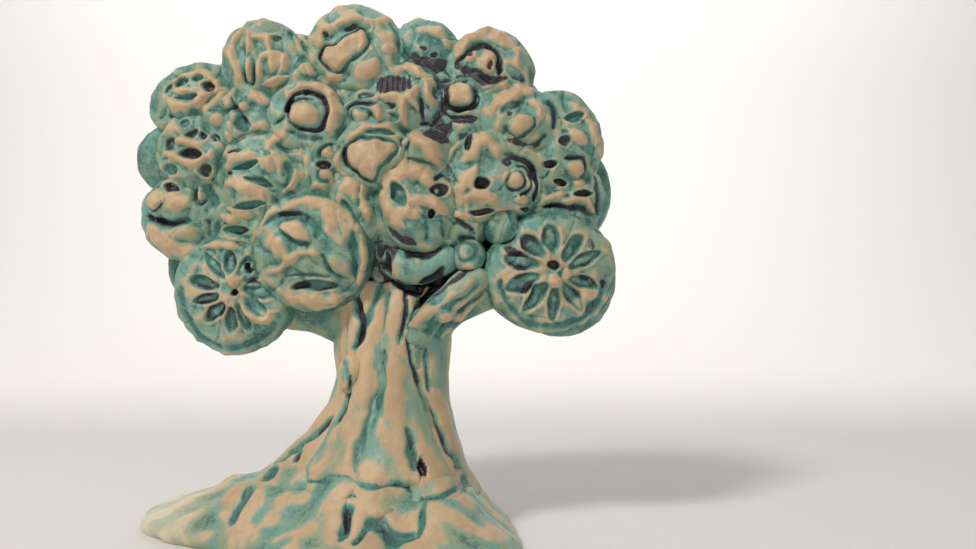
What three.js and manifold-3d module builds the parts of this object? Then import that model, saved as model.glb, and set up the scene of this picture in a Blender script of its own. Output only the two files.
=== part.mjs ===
// Hand-built clay tree of life: a root mound, a trunk of clay strands and a crown of stamped pads.
// Units are millimetres. +Z is up, the crown's front faces -Y, and the origin is on the underside of the
// foot, on the trunk's axis. Every piece is a lump of clay that the potter formed on its own and then
// pressed on, so each one is a closed solid with a thin seam (GAP) to its neighbours.
import * as THREE from "three";
import { mergeVertices } from "three/addons/utils/BufferGeometryUtils.js";
import Module from "manifold-3d";

const wasm = await Module();
wasm.setup();

// ---- Driving dimensions ----
const GAP = 0.3; // seam between two pieces of clay
const FOOT_TOP = 14.5; // thickness of the foot plate
const ROOT_TOP = 23; // height of the crack between the roots and the trunk strands
const TRUNK_TOP = 86; // where the strands disappear into the crown
const NECK_HEIGHT = 50; // above this the trunk is no wider than its neck
const NECK_RADIUS = 17.5;
const POST_RADIUS = 6; // the rolled post inside the trunk
const FLATTENING = 0.3; // share of its depth that the trunk loses by FORK_HEIGHT, and again in the crown
const FORK_HEIGHT = 78;
const WIDENING = 0.006; // share of its radius that the trunk gains with each millimetre above the neck
const FLARE = { slope: 0.62, bend: 1.15, toe: 0.38, toeHeight: 14 }; // the trunk's spread into the foot
const FOOT_RADIUS = 40; // the foot's outline between its root lobes
const RIM_DROP = 0.5; // share of its height that the foot loses at its rim
const STRAND_RADIUS = 0.93; // the trunk's radius at the seams, as a share of its full one
const CROWN = { x: -3, z: 121, halfWidth: 80, halfHeight: 60 };
const CORE = { halfWidth: 64, halfDepth: 14, halfHeight: 45 };
const DOME = { rim: 8.5, middle: 19.5 }; // distance of the pads' faces from the crown's middle plane
const PAD_THICKNESS = 12;
const PAD_SIDES = 24;
const SMALL_PAD = 9; // half width under which a pad has only SMALL_PAD_SIDES
const SMALL_PAD_SIDES = 16;
const SECTOR_STEP = 18; // degrees between two columns of a trunk sector's outside

// Lobes of the foot: direction in degrees from +X (the front is -90), reach past FOOT_RADIUS, spread.
const LOBES = [
  { direction: 170, reach: 50, spread: 31 },
  { direction: -50, reach: 18, spread: 24 },
  { direction: -112, reach: 11, spread: 30 },
  { direction: 125, reach: 7, spread: 28 },
];

// Seams of the trunk, in degrees: [name, where it starts at the bottom, where it starts at the top].
// Each piece runs from its own seam to the next piece's.
const STRANDS = [
  ["strand_left", -200, -188],
  ["strand_centre_left", -160, -131],
  ["strand_centre_right", -108, -94],
  ["strand_right", -43, -62],
  ["strand_back", 18, 12],
];

const ROOTS = [
  ["root_left", -205, -200],
  ["root_front_left", -144, -157],
  ["root_front_centre", -106, -108],
  ["root_front_right", -73, -71],
  ["root_right", -37, -43],
  ["root_back", 34, 28],
];

// Branches at the fork: points of the centre line, first and last radius.
const BRANCHES = [
  { name: "branch_centre", points: [[-1, -9, 94], [8, -12, 89.5], [22, -11, 95]], radii: [4.5, 5] },
  { name: "branch_right_inner", points: [[8, -11, 66], [15, -14, 76], [30, -13, 89]], radii: [4, 4.2] },
  { name: "branch_right", points: [[9, -2, 66], [17, -5, 76], [38, -5, 86]], radii: [7.5, 6.5] },
  { name: "branch_left", points: [[-11, 1, 68], [-22, 1, 76], [-38, 1, 80]], radii: [7, 10] },
];

// Pads, topmost first: a pad that lies on another presses its shape into it.
// [name, x, z, half width, half height, dome, lift past the crown's dome, turn in degrees]
const FRONT_PADS = [
  ["ball_upper", 37.6, 103, 5.8, 6.2, 5, 1.5, 0],
  ["ball_lower", 26.8, 93.4, 5.3, 5.2, 4.5, 1.5, 0],
  ["pad_right_flower", 54.2, 87.6, 22, 19.8, 2.6, 3.5, 0],
  ["pad_large_heart", -25.2, 94, 19, 19.2, 3.4, 2.5, 0],
  ["pad_folded", 10, 110.6, 12.8, 14.6, 5.5, 3, 8],
  ["pad_petal_knob", 13, 127.6, 8, 7.6, 3.5, 2, 0],
  ["pad_centre_heart", -4.6, 126.8, 12, 10.6, 2.8, 1.5, 0],
  ["pad_left_flower", -53, 79.6, 20, 19.8, 3.6, 4, 0],
  ["pad_ring_button", -27, 140.2, 12.8, 11, 2.6, 1, 0],
  ["pad_leaf_ball", -41.6, 119.8, 15.6, 15, 4.8, 1.5, 0],
  ["pad_rose_star", 34.4, 119.4, 16.4, 15.2, 3, 1.5, 0],
  ["pad_right_button", 44.4, 138.6, 13.6, 11.2, 4, 2, 0],
  ["pad_square_button", 24, 144.6, 8.2, 8, 2.4, -0.5, 0],
  ["pad_top_heart", -11.8, 163.4, 15.6, 15, 3.4, 1.5, 0],
  ["pad_small_eye", -6.8, 140.2, 7.4, 7.4, 2, 0, 0],
  ["pad_clover", -48.6, 139.6, 13.2, 10.2, 3.4, 1, 0],
  ["pad_ribbed", 6.2, 146, 12, 11, 2.6, 0.5, 0],
  ["pad_loops", -43, 160.8, 13.4, 13, 3.4, 1, 0],
  ["pad_top_eye", 34.2, 156.4, 14, 14, 3.4, 1, 0],
  ["pad_honeycomb", -63.8, 129, 14, 12, 3.2, 1, 0],
  ["pad_pits", -67.2, 147.4, 15.4, 11, 3.2, 0.5, 18],
  ["pad_right_petals", 56.8, 132, 14.6, 17.4, 3.2, 0.5, 0],
  ["pad_right_rim", 60, 112.6, 12, 13, 3, 0, 0],
  ["pad_curl", -70.6, 105.8, 13.4, 13.4, 3.6, 1.5, 0],
  ["pad_long_petal", -10.8, 110.6, 8, 12.4, 3, -0.5, 18],
  ["pad_hollow_knob", -20, 123.4, 8.4, 10, 2.6, -0.5, 0],
  ["pad_crescents", -49.4, 103.4, 11, 9.5, 3, 0, 0],
  ["pad_small_fold", 24.4, 103.4, 9.2, 7.6, 2.6, -1, 0],
  ["pad_top_dark", 11.8, 162, 11, 11.4, 3, -1, 0],
  ["pad_ridge", -29, 158, 14, 9, 2.6, -0.5, -38],
];

const BACK_PADS = [
  ["back_pad_star", -2, 129, 18.5, 17.5, 3, 2, 0],
  ["back_pad_right_flower", 55.5, 85.6, 20, 20, 3, 2.5, 0],
  ["back_pad_spiral", -31, 102, 19, 19, 3.4, 2, 0],
  ["back_pad_left_flower", -60, 91, 16.5, 16.5, 3.4, 1.5, 0],
  ["back_pad_rings", 26, 107, 17.5, 18, 3, 1.5, 0],
  ["back_pad_bud", -3, 94, 15.5, 16, 3.6, 1, 0],
  ["back_pad_heart", -31, 143, 18, 17.5, 3, 1.5, 0],
  ["back_pad_top", 2, 159.5, 17.5, 14, 3.2, 1, 0],
  ["back_pad_sun", 34, 142, 18.5, 18, 3.2, 1.5, 0],
  ["back_pad_left_mid", -71.5, 128, 15.5, 12.5, 3.2, 1, 0],
  ["back_pad_right_mid", 58, 116, 15.5, 18, 3.2, 1, 0],
];

// ---- Helpers ----
const radians = THREE.MathUtils.degToRad;

// A closed BufferGeometry as a manifold-3d solid.
function solidOf(geometry) {
  const bare = geometry.clone();
  bare.deleteAttribute("normal");
  bare.deleteAttribute("uv");
  const merged = mergeVertices(bare, 1e-4);
  return new wasm.Manifold(
    new wasm.Mesh({
      numProp: 3,
      vertProperties: merged.attributes.position.array,
      triVerts: new Uint32Array(merged.index.array),
    }),
  );
}

function geometryOf(solid) {
  const mesh = solid.getMesh();
  const geometry = new THREE.BufferGeometry();
  geometry.setAttribute("position", new THREE.BufferAttribute(mesh.vertProperties, 3));
  geometry.setIndex(new THREE.BufferAttribute(mesh.triVerts, 1));
  geometry.computeVertexNormals();
  return geometry;
}

// The largest body of a solid: a cut can leave a crumb behind.
function largestBody(solid) {
  return solid.decompose().reduce((a, b) => (a.volume() > b.volume() ? a : b));
}

// Moves every vertex of a geometry to place(vertex).
function reshape(geometry, place) {
  const position = geometry.attributes.position;
  const vertex = new THREE.Vector3();
  for (let i = 0; i < position.count; i++) {
    vertex.fromBufferAttribute(position, i);
    position.setXYZ(i, ...place(vertex).toArray());
  }
  return geometry;
}

// How far the foot reaches in a direction, in millimetres from the trunk's axis.
function footReach(degrees) {
  const lobes = LOBES.map(({ direction, reach, spread }) => {
    const apart = THREE.MathUtils.euclideanModulo(degrees - direction + 180, 360) - 180;
    return reach * Math.exp(-((apart / spread) ** 2));
  });
  return FOOT_RADIUS + lobes.reduce((a, b) => a + b, 0);
}

// The trunk's radius at a height: the neck's, widening below it into the root flare.
function trunkRadius(degrees, z) {
  const below = Math.max(0, 1 - z / NECK_HEIGHT);
  const flare = FLARE.slope * below ** FLARE.bend + FLARE.toe * Math.exp(-((z / FLARE.toeHeight) ** 2));
  const widening = 1 + WIDENING * Math.max(0, z - NECK_HEIGHT);
  return NECK_RADIUS * widening + (footReach(degrees) - NECK_RADIUS) * flare * (below > 0 ? 1 : 0);
}

// The trunk is round at its foot and flatter where it enters the crown.
function trunkDepth(z) {
  const { smoothstep } = THREE.MathUtils;
  const steps = smoothstep(z, NECK_HEIGHT, FORK_HEIGHT) + smoothstep(z, FORK_HEIGHT - 2, TRUNK_TOP);
  return 1 - FLATTENING * steps;
}

function onCircle(degrees, radius, z) {
  const angle = radians(degrees);
  return new THREE.Vector3(radius * Math.cos(angle), radius * Math.sin(angle), z);
}

// ---- Foot, roots and trunk ----
function footPlate() {
  const rings = [
    [0.97, 0],
    [1.0, 5],
    [0.985, 9],
    [0.92, 12],
    [0.78, 13.6],
    [0.64, FOOT_TOP],
  ];
  const sides = 40;
  const profile = [[0, 0], ...rings, [0, FOOT_TOP]].map(([r, z]) => new THREE.Vector2(r, z));
  const lathe = new THREE.LatheGeometry(profile, sides);
  // The lathe turns about Y: its height becomes Z, and each ring is stretched to the foot's outline.
  // Its top slopes down to a low rim.
  return reshape(lathe, (v) => {
    const degrees = THREE.MathUtils.radToDeg(Math.atan2(-v.z, v.x));
    const ring = Math.hypot(v.x, v.z);
    const height = v.y * (1 - RIM_DROP * THREE.MathUtils.smoothstep(ring, 0.6, 1));
    return onCircle(degrees, ring * footReach(degrees), height);
  });
}

// One sector of the trunk or the roots, between two seams, round the inner post.
function sector({ seams, bottom, top, bulge, across, up }) {
  const box = new THREE.BoxGeometry(1, 1, 1, across, up, 1);
  return reshape(box, (v) => {
    const height = v.y + 0.5;
    const z = THREE.MathUtils.lerp(bottom, top, height);
    const [first, last] = seams(height);
    const degrees = THREE.MathUtils.lerp(first, last, v.x + 0.5);
    const swell = bulge * Math.sin(Math.PI * (v.x + 0.5));
    const outer = trunkRadius(degrees, z) * (STRAND_RADIUS + swell);
    const radius = v.z > 0 ? outer : POST_RADIUS + GAP;
    // Half a seam is left free on each side.
    const halfSeam = (GAP / 2) * (v.x > 0 ? -1 : 1) * (Math.abs(v.x) > 0.499 ? 1 : 0);
    const point = onCircle(degrees, radius, z).add(onCircle(degrees + 90, halfSeam, 0));
    if (v.z > 0) point.y *= trunkDepth(z);
    return point;
  });
}

// The rows of STRANDS or ROOTS as sectors between two heights.
function sectors(rows, size) {
  return rows.map(([name, ...first], i) => {
    const last = i + 1 < rows.length ? rows[i + 1].slice(1) : rows[0].slice(1).map((seam) => seam + 360);
    const seams = (height) => [THREE.MathUtils.lerp(...first, height), THREE.MathUtils.lerp(...last, height)];
    const across = Math.max(4, Math.ceil((last[0] - first[0]) / SECTOR_STEP));
    return [name, sector({ seams, across, ...size })];
  });
}

function trunkPost(grow = 0) {
  const bottom = FOOT_TOP + GAP;
  const radius = POST_RADIUS + grow;
  const post = new THREE.CylinderGeometry(radius, radius, TRUNK_TOP - bottom, 12);
  return post.rotateX(Math.PI / 2).translate(0, 0, (TRUNK_TOP + bottom) / 2);
}

// A tapering roll of clay along a curve.
function branch({ points, radii }, grow = 0) {
  const curve = new THREE.CatmullRomCurve3(points.map((p) => new THREE.Vector3(...p)));
  const side = new THREE.Vector3(0, 1, 0);
  const roll = new THREE.CylinderGeometry(1, 1, 1, 10, 5);
  return reshape(roll, (v) => {
    const t = v.y + 0.5;
    const tangent = curve.getTangent(t);
    const across = new THREE.Vector3().crossVectors(tangent, side).normalize();
    const radius = THREE.MathUtils.lerp(radii[0], radii[1], t) + grow;
    return curve
      .getPoint(t)
      .addScaledVector(across, v.x * radius)
      .addScaledVector(side, v.z * radius);
  });
}

// A small lump of clay where a strand was pinched shut.
function trunkKnot(grow = 0) {
  const lump = new THREE.SphereGeometry(1, 10, 8);
  return lump.scale(3.2 + grow, 2.8 + grow, 6 + grow).rotateY(radians(12)).translate(-12.4, -14.2, 56);
}

// ---- Crown ----
function crownCore(grow = 0) {
  const core = new THREE.SphereGeometry(1, 18, 10);
  core.rotateX(Math.PI / 2); // poles in front and behind
  core.scale(CORE.halfWidth + grow, CORE.halfDepth + grow, CORE.halfHeight + grow);
  return core.translate(CROWN.x, 0, CROWN.z);
}

// A stamped pad: a thick domed disc that leans outwards with the crown's dome. With a seam's width in
// grow, it is the room that the pad needs: the same disc, open to the front as a shaft.
function pad([, x, z, halfWidth, halfHeight, dome, lift, turn], front, grow = 0) {
  const across = (x - CROWN.x) / CROWN.halfWidth;
  const up = (z - CROWN.z) / CROWN.halfHeight;
  const rise = DOME.middle - DOME.rim;
  const inside = Math.max(0, 1 - across ** 2 - up ** 2);
  const face = DOME.rim + rise * inside + lift;
  const lean = new THREE.Vector3(
    (2 * rise * across) / CROWN.halfWidth,
    -1,
    (2 * rise * up) / CROWN.halfHeight,
  ).normalize();
  const ball = halfWidth < dome * 1.3;
  const shoulder = [
    [ball ? 0.98 : 0.94, -dome],
    [ball ? 0.7 : 0.55, -0.3 * dome],
    [0, 0],
  ];
  const shaft = [
    [1, PAD_THICKNESS],
    [0, PAD_THICKNESS],
  ];
  const profile = [
    [0, -PAD_THICKNESS - grow],
    [0.88, -PAD_THICKNESS - grow],
    [1, -0.62 * PAD_THICKNESS],
    ...(grow > 0 ? shaft : shoulder),
  ].map(([r, depth]) => new THREE.Vector2(r, depth));
  const disc = new THREE.LatheGeometry(profile, halfWidth < SMALL_PAD ? SMALL_PAD_SIDES : PAD_SIDES);
  disc.scale(halfWidth + grow, 1, halfHeight + grow);
  disc.rotateY(radians(turn));
  disc.rotateX(Math.PI); // the face now looks to the front
  disc.applyQuaternion(new THREE.Quaternion().setFromUnitVectors(new THREE.Vector3(0, -1, 0), lean));
  disc.translate(x, -face, z);
  return front ? disc : disc.rotateZ(Math.PI).translate(2 * x, 0, 0);
}

// The half of space that the front or the back pads are pressed into.
function halfSpace(front) {
  const size = 400;
  const box = new THREE.BoxGeometry(size, size, size);
  return solidOf(box.translate(0, (front ? -1 : 1) * (size / 2 + GAP / 2), 0));
}

// ---- Assembly: every piece is cut by those already laid down, which keep a seam's width clear ----
const CLAY = { buff: 0xd9b183, teal: 0x5fa79b };
const tree = new THREE.Group();
const laid = [];

function lay(name, solid, keepOut, colour) {
  const body = largestBody(solid);
  const material = new THREE.MeshStandardMaterial({ color: colour, roughness: 0.85, metalness: 0 });
  const mesh = new THREE.Mesh(geometryOf(body), material);
  mesh.name = name;
  tree.add(mesh);
  laid.push(keepOut);
}

function cutByLaid(solid) {
  return laid.reduce((left, keepOut) => left.subtract(keepOut), solid);
}

lay("foot_plate", solidOf(footPlate()), solidOf(footPlate()), CLAY.buff);
lay("crown_core", solidOf(crownCore()), solidOf(crownCore(GAP)), CLAY.teal);

for (const [pads, front] of [[FRONT_PADS, true], [BACK_PADS, false]]) {
  const half = halfSpace(front);
  for (const row of pads) {
    const pressed = cutByLaid(solidOf(pad(row, front))).intersect(half);
    lay(row[0], pressed, solidOf(pad(row, front, GAP)), CLAY.teal);
  }
}

for (const row of BRANCHES) {
  lay(row.name, cutByLaid(solidOf(branch(row))), solidOf(branch(row, GAP)), CLAY.buff);
}
lay("trunk_post", cutByLaid(solidOf(trunkPost())), solidOf(trunkPost(GAP)), CLAY.buff);
lay("trunk_knot", solidOf(trunkKnot()), solidOf(trunkKnot(GAP)), CLAY.buff);
const rootSectors = sectors(ROOTS, { bottom: FOOT_TOP + GAP, top: ROOT_TOP, bulge: 0.08, up: 3 });
const strandSectors = sectors(STRANDS, { bottom: ROOT_TOP + GAP, top: TRUNK_TOP, bulge: 0.09, up: 6 });
for (const [name, geometry] of [...rootSectors, ...strandSectors]) {
  const solid = solidOf(geometry);
  lay(name, cutByLaid(solid), solid, CLAY.buff);
}

export default tree;
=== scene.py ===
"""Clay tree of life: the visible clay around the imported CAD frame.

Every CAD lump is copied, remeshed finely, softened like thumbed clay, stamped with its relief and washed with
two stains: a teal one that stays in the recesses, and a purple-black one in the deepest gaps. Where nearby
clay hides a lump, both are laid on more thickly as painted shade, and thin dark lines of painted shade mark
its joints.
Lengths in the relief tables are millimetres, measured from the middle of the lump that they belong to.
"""

import math

import bpy
import numpy as np
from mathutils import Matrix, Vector
from mathutils.bvhtree import BVHTree


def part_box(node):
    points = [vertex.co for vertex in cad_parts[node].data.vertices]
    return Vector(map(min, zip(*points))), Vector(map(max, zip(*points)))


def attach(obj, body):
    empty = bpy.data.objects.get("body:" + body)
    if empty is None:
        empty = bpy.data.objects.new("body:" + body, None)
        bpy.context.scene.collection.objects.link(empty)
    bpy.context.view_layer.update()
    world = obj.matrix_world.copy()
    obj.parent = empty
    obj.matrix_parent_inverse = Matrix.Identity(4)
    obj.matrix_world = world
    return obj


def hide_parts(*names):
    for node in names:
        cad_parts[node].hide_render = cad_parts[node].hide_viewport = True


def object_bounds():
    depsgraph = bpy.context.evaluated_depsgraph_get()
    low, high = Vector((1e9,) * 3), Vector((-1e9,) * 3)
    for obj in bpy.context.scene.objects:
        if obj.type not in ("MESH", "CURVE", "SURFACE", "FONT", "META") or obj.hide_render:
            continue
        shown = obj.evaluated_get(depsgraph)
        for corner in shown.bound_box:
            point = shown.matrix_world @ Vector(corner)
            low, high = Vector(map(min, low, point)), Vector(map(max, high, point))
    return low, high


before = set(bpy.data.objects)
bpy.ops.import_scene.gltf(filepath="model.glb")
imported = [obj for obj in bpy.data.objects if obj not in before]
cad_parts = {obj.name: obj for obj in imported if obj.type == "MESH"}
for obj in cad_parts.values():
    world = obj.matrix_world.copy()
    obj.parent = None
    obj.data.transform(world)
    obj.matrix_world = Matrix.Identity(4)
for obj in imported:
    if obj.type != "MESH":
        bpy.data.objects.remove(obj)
cad_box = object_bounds()

MM = 0.001
PAD_VOXEL = 0.42
BACK_VOXEL = 0.55
TRUNK_VOXEL = 0.6
CELL = 1.0  # mm, of the grid that finds the gaps between the lumps
GRID_MARGIN = 12  # mm of empty cells round the tree

# How far, in mm, each lump is rounded off, swollen, and pressed out more where a neighbour lies close.
PAD_ROUNDING, PAD_SWELL, PAD_SQUEEZE = 1.9, 1.05, 1.2
TRUNK_ROUNDING, TRUNK_SWELL, TRUNK_SQUEEZE = 1.6, 0.8, 1.0

# How far off the clay, in mm, a neighbour is looked for: where lumps meet, press together, hide or shade.
# Meeting, hiding and shading set where painted shade darkens the clay's colour.
MEETS, PRESSES, HIDES, SHADES = 0.9, 1.8, 2.2, 5.0
# How widely, in mm, heights are averaged to find the creases, the marks and the lumps of a face.
CREASE, MARK, LUMP = 1.0, 2.4, 6.0


def box_mm(node):
    low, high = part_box(node)
    return np.array(low) / MM, np.array(high) / MM


def middle_mm(node):
    return sum(box_mm(node)) / 2


# ---- The trunk's and the foot's places ----
TRUNK_X, TABLE_Z = middle_mm("trunk_post")[0], box_mm("foot_plate")[0][2]
POST_RADIUS = box_mm("trunk_post")[1][0] - TRUNK_X
ROOT_FOOT = box_mm("root_left")[0][2]  # where the roots meet the foot
FOOT_LEFT = box_mm("foot_plate")[0][0]
PALE_STARTS, PALE_FULL = FOOT_LEFT + 37.3, FOOT_LEFT + 9.3  # where the foot's left end loses its stain
FOOT_CLIMB, CLIMB_REACH = 2.6, 5  # mm that the foot's clay is pushed up by the roots, and how far from them

# ---- The crown's form: pads lean outwards on a shallow dome, as the CAD's do ----
CORE_LOW, CORE_HIGH = box_mm("crown_core")
CROWN_X, _, CROWN_Z = middle_mm("crown_core")
PADS_BEYOND = 16.0, 15.0  # mm that the crown reaches past its core, sideways and upwards
CROWN_HALF_WIDTH = (CORE_HIGH[0] - CORE_LOW[0]) / 2 + PADS_BEYOND[0]
CROWN_HALF_HEIGHT = (CORE_HIGH[2] - CORE_LOW[2]) / 2 + PADS_BEYOND[1]
DOME_RIM, DOME_RISE = 8.5, 11.0
WALL_BEHIND_PADS = 2.2
WALL_STARTS, WALL_FULL = CORE_LOW[2] + 20, CORE_LOW[2] + 29  # where the wall fills out, above the branches


def in_crown(x, z):
    """A place as shares of the crown's half width and half height."""
    return (x - CROWN_X) / CROWN_HALF_WIDTH, (z - CROWN_Z) / CROWN_HALF_HEIGHT


def dome_face(x, z):
    """How far the pads' faces stand from the crown's middle plane."""
    across, up = in_crown(x, z)
    return DOME_RIM + DOME_RISE * np.clip(1 - across**2 - up**2, 0, 1)


def smoothstep(low, high, value):
    t = np.clip((value - low) / (high - low), 0, 1)
    return t * t * (3 - 2 * t)


# ---- Marks: what a stamp, a tool or a thumb leaves. Each gives its height, how much it darkens the clay, and its teal stain ----
def turned(u, v, at, angle):
    """(u, v) seen from the middle of a mark that is turned by angle, in degrees."""
    a = math.radians(angle)
    du, dv = u - at[0], v - at[1]
    return du * math.cos(a) + dv * math.sin(a), dv * math.cos(a) - du * math.sin(a)


def pit(u, v, at, length, width, depth, dark, angle=0):
    """A pressed hollow with pointed ends and a slightly raised lip."""
    along, across = turned(u, v, at, angle)
    inside = 1 - np.abs(2 * along / length) ** 1.5 - (2 * across / width) ** 2
    hollow = smoothstep(0, 0.55, inside)
    lip = np.exp(-(((inside + 0.12) / 0.28) ** 2))
    return -depth * hollow + 0.22 * depth * lip, hollow**2 * dark, 0.75 * hollow - 0.2 * lip


def lump(u, v, at, length, width, height, angle=0):
    """A rounded bead or petal of clay."""
    along, across = turned(u, v, at, angle)
    inside = np.clip(1 - (2 * along / length) ** 2 - (2 * across / width) ** 2, 0, 1)
    return height * inside**0.6, 0, -0.65 * smoothstep(0.1, 0.7, inside)


def curve_points(points, closed=False):
    """Points along a Catmull-Rom curve through the given ones, six to a span."""
    p = np.array(points, float)
    p = np.vstack([p[-1], p, p[0], p[1]]) if closed else np.vstack([2 * p[0] - p[1], p, 2 * p[-1] - p[-2]])
    t = np.linspace(0, 1, 6, endpoint=False)[:, None]
    runs = []
    for a, b, c, d in zip(p[:-3], p[1:-2], p[2:-1], p[3:]):
        bend, twist = 2 * a - 5 * b + 4 * c - d, 3 * b - a - 3 * c + d
        runs.append(0.5 * (2 * b + (c - a) * t + bend * t**2 + twist * t**3))
    runs.append(p[-2:-1] if not closed else p[1:2])
    return np.vstack(runs)


def nearest_on(u, v, path):
    """The distance to a path, and how far along the path (0 to 1) its nearest place is."""
    nearest, place = np.full(len(u), 1e9), np.zeros(len(u))
    for k, ((x0, z0), (x1, z1)) in enumerate(zip(path[:-1], path[1:])):
        dx, dz = x1 - x0, z1 - z0
        length = max(dx * dx + dz * dz, 1e-9)
        t = np.clip(((u - x0) * dx + (v - z0) * dz) / length, 0, 1)
        apart = np.hypot(u - x0 - t * dx, v - z0 - t * dz)
        closer = apart < nearest
        nearest[closer], place[closer] = apart[closer], ((k + t) / (len(path) - 1))[closer]
    return nearest, place


def stroke(u, v, points):
    """The distance to a hand-drawn stroke, in widths of 1: it thins to its ends and is never quite even."""
    apart, place = nearest_on(u, v, curve_points(points))
    taper = 0.5 + 0.5 * np.sqrt(np.clip(4 * place * (1 - place), 0, 1))
    uneven = 1 + 0.2 * np.sin(0.5 * u + 0.75 * v) + 0.1 * np.sin(1.1 * u - 0.4 * v)
    return apart / (taper * uneven), taper


def cut(u, v, points, width, depth, dark):
    """A groove drawn along a curve."""
    reach, taper = stroke(u, v, points)
    profile = taper * np.exp(-((reach / width) ** 2.4))
    stained = taper * np.exp(-((reach / width / 1.5) ** 2))
    return -depth * profile, dark * profile**1.5, 0.75 * stained


def rib(u, v, points, width, height):
    """A raised coil of clay along a curve."""
    reach, taper = stroke(u, v, points)
    profile = taper * np.exp(-((reach / width / 1.25) ** 2.6))
    return height * profile, 0, -0.8 * profile


def ring(u, v, at, radius, width, depth, dark, start=0, end=360, tall=1):
    """A groove (or with a negative depth, a ridge) round a circle's arc."""
    turns = np.radians(np.linspace(start, end, 25))
    path = np.column_stack([at[0] + radius * np.cos(turns), at[1] + tall * radius * np.sin(turns)])
    profile = np.exp(-((nearest_on(u, v, path)[0] / width) ** 2.4))
    return -depth * profile, dark * profile, 0.6 * profile


def area(u, v, points, height, edge, groove=0, dark=0):
    """A plateau with a closed outline, and a groove cut round it."""
    path = curve_points(points, closed=True)
    inside = np.zeros(len(u), bool)
    for (x0, z0), (x1, z1) in zip(path[:-1], path[1:]):
        crosses = (z0 > v) != (z1 > v)
        inside ^= crosses & (u < (x1 - x0) * (v - z0) / (z1 - z0 + 1e-12) + x0)
    signed = np.where(inside, 1, -1) * nearest_on(u, v, path)[0]
    line = np.exp(-(((signed + 0.35) / 0.5) ** 2))
    plateau = smoothstep(-edge, edge, signed)
    return height * plateau - groove * line, dark * line, 0.6 * line - 0.5 * plateau


def petals(u, v, at, count, inner, outer, width, depth, first, dark):
    """A ring of pits like a flower's petals, each pressed a little differently."""
    rng = np.random.default_rng(count)
    rows = []
    for k in range(count):
        slip, long, wide, deep = rng.uniform(-1, 1, 4)
        angle = first + 360 * (k + 0.12 * slip) / count
        a, middle = math.radians(angle), (inner + outer) / 2 * (1 + 0.05 * slip)
        place = (at[0] + middle * math.cos(a), at[1] + middle * math.sin(a))
        length, across = (outer - inner) * (1 + 0.1 * long), width * (1 + 0.2 * wide)
        rows.append((pit, place, length, across, depth, dark * (1 + 1.6 * deep), angle))
        rows.append((lump, place, 0.8 * length, 0.55 * across, 0.5 * depth, angle))
    return pressed(u, v, rows)


def tint(u, v, at, length, width, angle, teal, dark=0):
    """A patch of stain, soft at its edge. A negative teal is where the stain is wiped off."""
    along, across = turned(u, v, at, angle)
    patch = smoothstep(0, 0.7, 1 - (2 * along / length) ** 2 - (2 * across / width) ** 2)
    return 0, dark * patch, teal * patch


def pressed(u, v, marks):
    """All the marks together."""
    height, dark, teal = (np.zeros(len(u)) for _ in range(3))
    for mark, *values in marks:
        h, d, t = mark(u, v, *values)
        height, dark, teal = height + h, np.maximum(dark, d), teal + t
    return height, dark, np.clip(teal, -0.6, 0.9)


def heart_points(at, size, angle):
    """The outline of a heart, with its tip down when angle is 0."""
    half = [(0, -1), (-0.55, -0.35), (-0.95, 0.25), (-0.78, 0.75), (-0.35, 0.82), (0, 0.42)]
    x, z = np.array(half + [(-x, z) for x, z in half[:0:-1] if x]).T
    a = math.radians(angle)
    across, up = x * math.cos(a) - z * math.sin(a), x * math.sin(a) + z * math.cos(a)
    return np.column_stack([at[0] + size * across, at[1] + size * up])


def spiral_points(at, radius, turns):
    """Points along a spiral that opens out from its middle, ten to a turn."""
    share = np.arange(1, int(10 * turns) + 1) / int(10 * turns)
    angle = 2 * math.pi * turns * share
    return np.column_stack([at[0] + radius * share * np.cos(angle), at[1] + radius * share * np.sin(angle)])


# ---- Relief of the pads: (mark, values...), in millimetres from the middle of the pad ----
RELIEF = {}

RELIEF["pad_top_heart"] = [
    (area, [(-3, -8), (-7, -6.5), (-10, -3.5), (-9, -0.5), (-5, 0.5), (-1, 4), (3, 6.5), (5, 4), (4, -0.5),
            (0, -4.5)], 1.3, 0.5, 1.4, 0.35),
    (rib, [(-11, 1), (-10, 5), (-6, 7), (-3, 9), (0, 12), (4, 10), (9, 8)], 1.9, 1.9),
    (cut, [(-9, 3), (-5, 5.5), (0, 8), (4, 8), (6, 6)], 1.3, 1.5, 0.2),
    (lump, (5, -8), 9, 6, 1.2, 40),
    (lump, (-5, -9.5), 8, 3, 1.2, -15),
    (pit, (-8.5, 4.5), 3, 2, 1.1, 0.7, 20),
    (cut, [(12, 8), (14, 4), (16, -1)], 0.8, 1.3, 0.8),
    (lump, (12, -1), 6, 3, 1, 20),
]

RELIEF["pad_loops"] = [
    (rib, [(-5, 9), (-8, 5), (-9, 0), (-8, -5), (-6, -8)], 1.4, 2),
    (rib, [(-5, 9), (-1, 7), (3, 6), (4, 2)], 1.3, 1.8),
    (rib, [(-3, 8), (-2, 3), (-3, 0)], 0.9, 1.4),
    (lump, (-3, -5), 8, 3, 2, 88),
    (cut, [(-5, -4), (-5, -8), (-3, -9.5), (-1.5, -8), (-1.5, -1)], 0.6, 1.4, 0.6),
    (rib, [(1, -7), (1, -2), (3, 0), (5, -1), (5, -6)], 1, 1.7),
    (rib, [(9, -5), (8, -1), (5, 1)], 1.1, 1.6),
    (lump, (7, -9), 11, 3.4, 1.7, 18),
    (pit, (5.5, 6), 3, 3, 1.2, 0.4),
    (cut, [(8, 9), (11, 6), (13, 2)], 0.7, 1.2, 0.3),
]

RELIEF["pad_top_dark"] = [
    (rib, [(-3, 8), (2, 6.5), (6, 4), (8, 1)], 1.4, 1.3),
    (cut, [(-8, 4), (-7, 0), (-4, -4)], 1.1, 1.4, 1),
    (pit, (0, 1), 2.5, 2, 0.9, 0.8),
    (pit, (-3, -2), 4, 3, 0.9, 0.6, 20),
    (pit, (3, -1.5), 3, 3, 0.9, 0.7),
    (tint, (3, -6), 26, 8, -12, 0.2, 1.2),
]

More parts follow.
